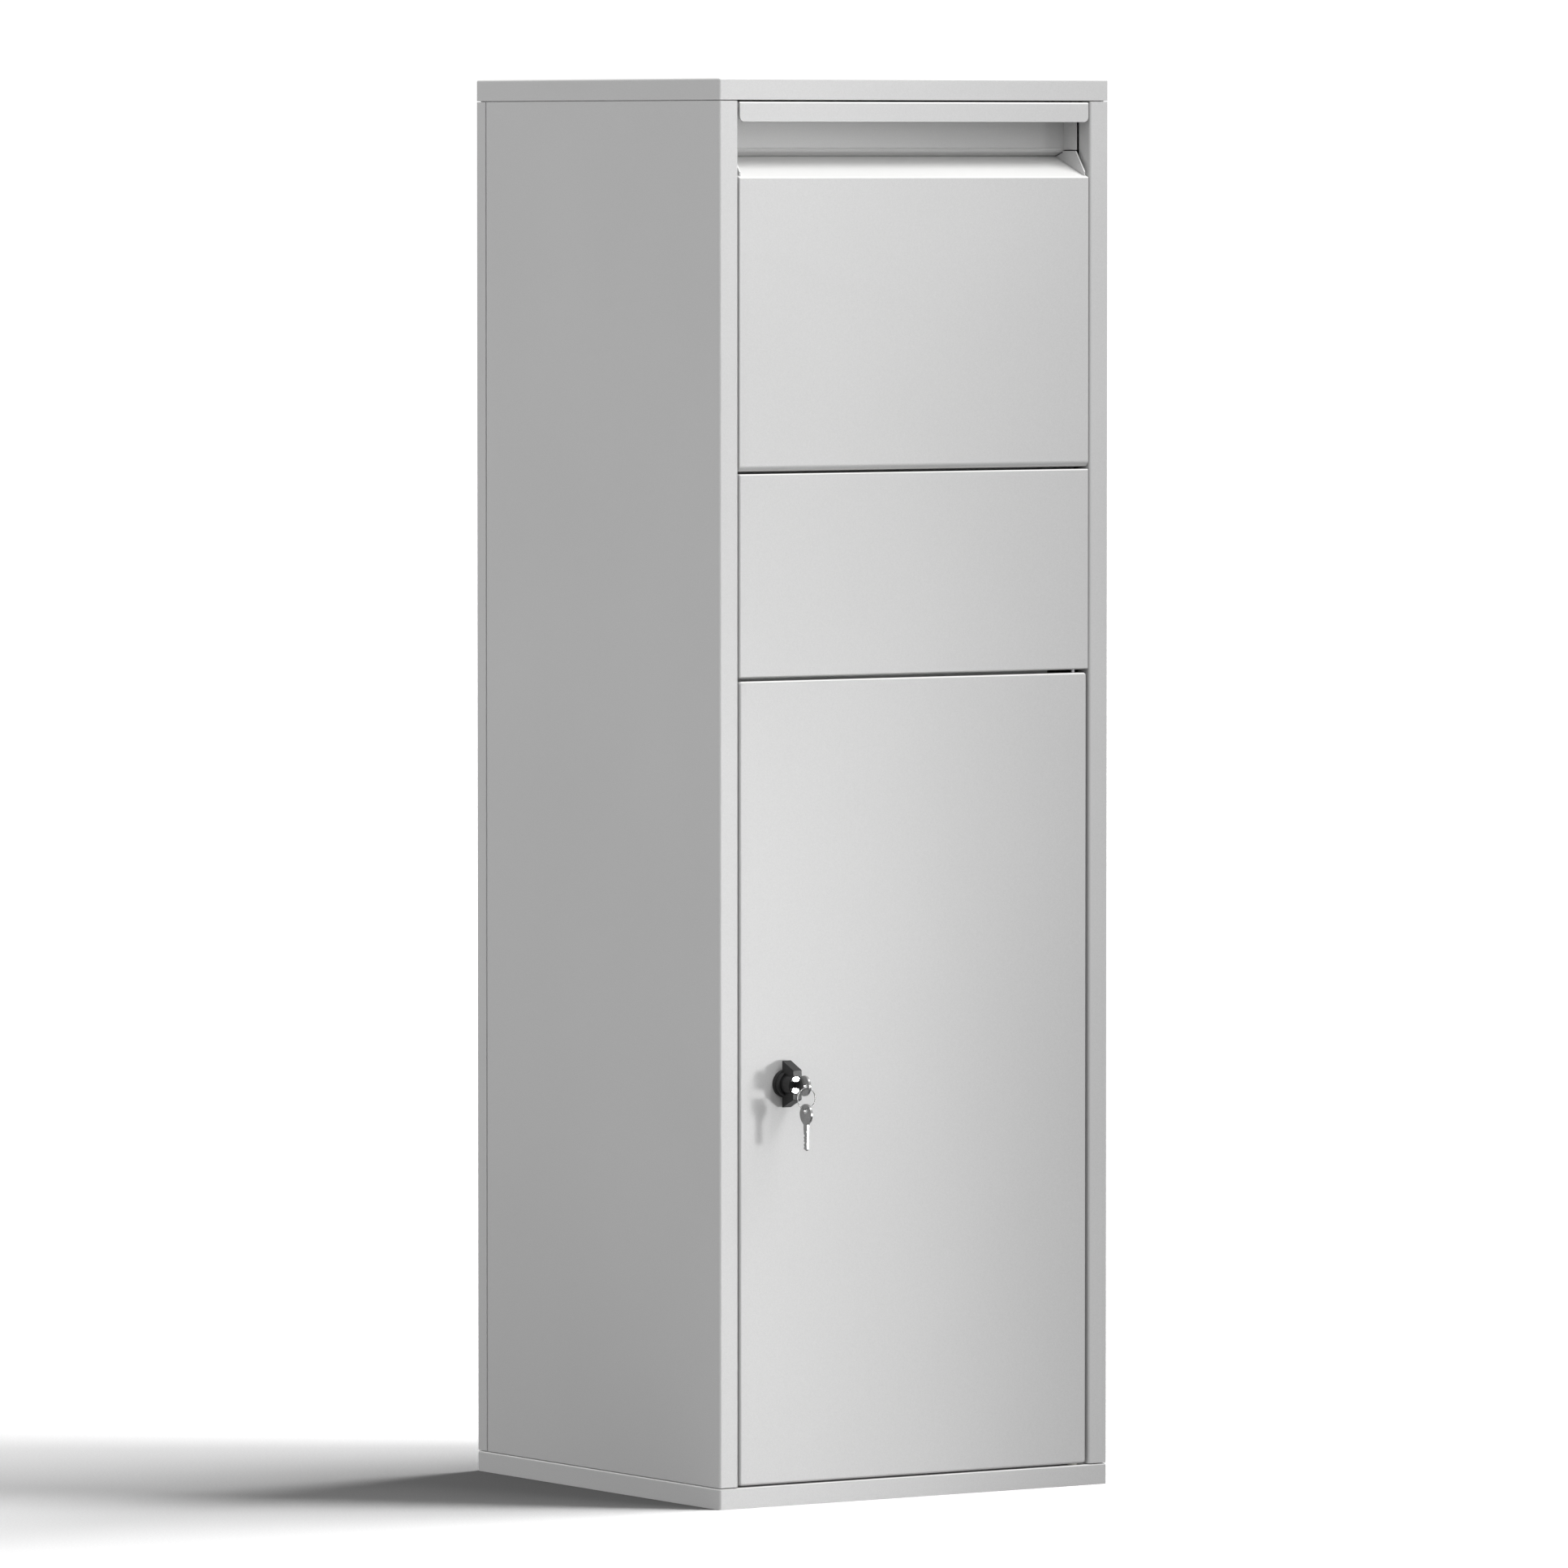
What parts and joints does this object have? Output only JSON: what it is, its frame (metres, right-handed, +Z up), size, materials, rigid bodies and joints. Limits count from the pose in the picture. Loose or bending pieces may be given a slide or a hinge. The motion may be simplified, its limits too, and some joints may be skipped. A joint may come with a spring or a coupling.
{
  "type": "parcel drop box",
  "caption": "Floor-standing folded-steel parcel drop box with a tipping drop drawer above a lockable collection door.",
  "frame": {"origin": "centre of the footprint, on the floor", "axes": "+Z up, -Y out of the front face with the door and drawer, +X to the right seen from the front"},
  "size_m": [0.394, 0.4286, 1.2],
  "materials": {
    "powder_coat": "light grey powder coat, satin, fine grain",
    "zinc_steel": "bright zinc plate",
    "black_plastic": "black moulded plastic, fine matt texture",
    "bright_chrome": "polished",
    "key_steel": "nickel plate",
    "nylon": "natural nylon",
    "rubber": "matt black rubber"
  },
  "bodies": {
    "cabinet": {"base_tray": "powder_coat", "top_cover": "powder_coat", "side_panel_left": "powder_coat", "side_panel_right": "powder_coat", "rear_panel": "powder_coat", "middle_panel": "powder_coat", "lintel": "powder_coat", "fishing_guard": "powder_coat", "latch_keeper": "zinc_steel", "drawer_stop_brackets": "powder_coat", "drawer_buffers": "rubber", "door_buffers": "rubber", "floor_mat": "rubber", "cover_screws": "zinc_steel", "cover_nuts": "zinc_steel", "base_screws": "zinc_steel", "base_nuts": "zinc_steel", "rear_screws": "zinc_steel", "rear_nuts": "zinc_steel", "guard_screws": "zinc_steel", "guard_nuts": "zinc_steel", "middle_screws": "zinc_steel", "middle_nuts": "zinc_steel", "door_pin_upper": "zinc_steel", "door_pin_lower": "zinc_steel", "door_thrust_washer": "nylon", "drawer_bushes": "nylon"},
    "drawer": {"drawer_front": "powder_coat", "grip_channel": "powder_coat", "grip_end_left": "powder_coat", "grip_end_right": "powder_coat", "drawer_cheek_left": "powder_coat", "drawer_cheek_right": "powder_coat", "drawer_tray": "powder_coat", "tray_rivets": "zinc_steel", "drawer_pivot_pins": "zinc_steel", "drawer_stop_studs": "zinc_steel", "drawer_stop_sleeves": "rubber"},
    "door": {"door_shell": "powder_coat", "door_stiffener": "powder_coat", "door_bushes": "nylon", "lock_rosette": "black_plastic", "lock_nut": "zinc_steel"},
    "knob": {"knob": "black_plastic", "knob_spindle": "zinc_steel", "latch_cam": "zinc_steel", "cam_nut": "zinc_steel"},
    "plug": {"lock_plug": "bright_chrome", "keyway_guard": "black_plastic"},
    "key": {"inserted_key": "key_steel"},
    "ring": {"key_ring": "key_steel"},
    "spare_key": {"spare_key": "key_steel"}
  },
  "joints": [
    {"name": "drawer_tilt", "type": "hinge", "parent": "cabinet", "child": "drawer", "pos_m": [0, -0.188, 0.8758], "axis": [1, 0, 0], "range_deg": [0, 45]},
    {"name": "door_swing", "type": "hinge", "parent": "cabinet", "child": "door", "pos_m": [0.1663, -0.185, 0.35], "axis": [0, 0, 1], "range_deg": [0, 105]},
    {"name": "knob_turn", "type": "hinge", "parent": "door", "child": "knob", "pos_m": [-0.1323, -0.193, 0.3562], "axis": [0, 1, 0], "range_deg": [0, 90]},
    {"name": "plug_turn", "type": "hinge", "parent": "knob", "child": "plug", "pos_m": [-0.1323, -0.193, 0.3562], "axis": [0, 1, 0], "range_deg": [0, 90]},
    {"name": "key_slide", "type": "slide", "parent": "plug", "child": "key", "axis": [0, -1, 0], "range_m": [0, 0.03]},
    {"name": "ring_swing", "type": "hinge", "parent": "key", "child": "ring", "pos_m": [-0.1323, -0.227, 0.35447], "axis": [-1, 0, 0], "range_deg": [-8, 30]},
    {"name": "spare_key_swing", "type": "hinge", "parent": "ring", "child": "spare_key", "pos_m": [-0.1323, -0.227, 0.33687], "axis": [-1, 0, 0], "range_deg": [-30, 30]}
  ]
}
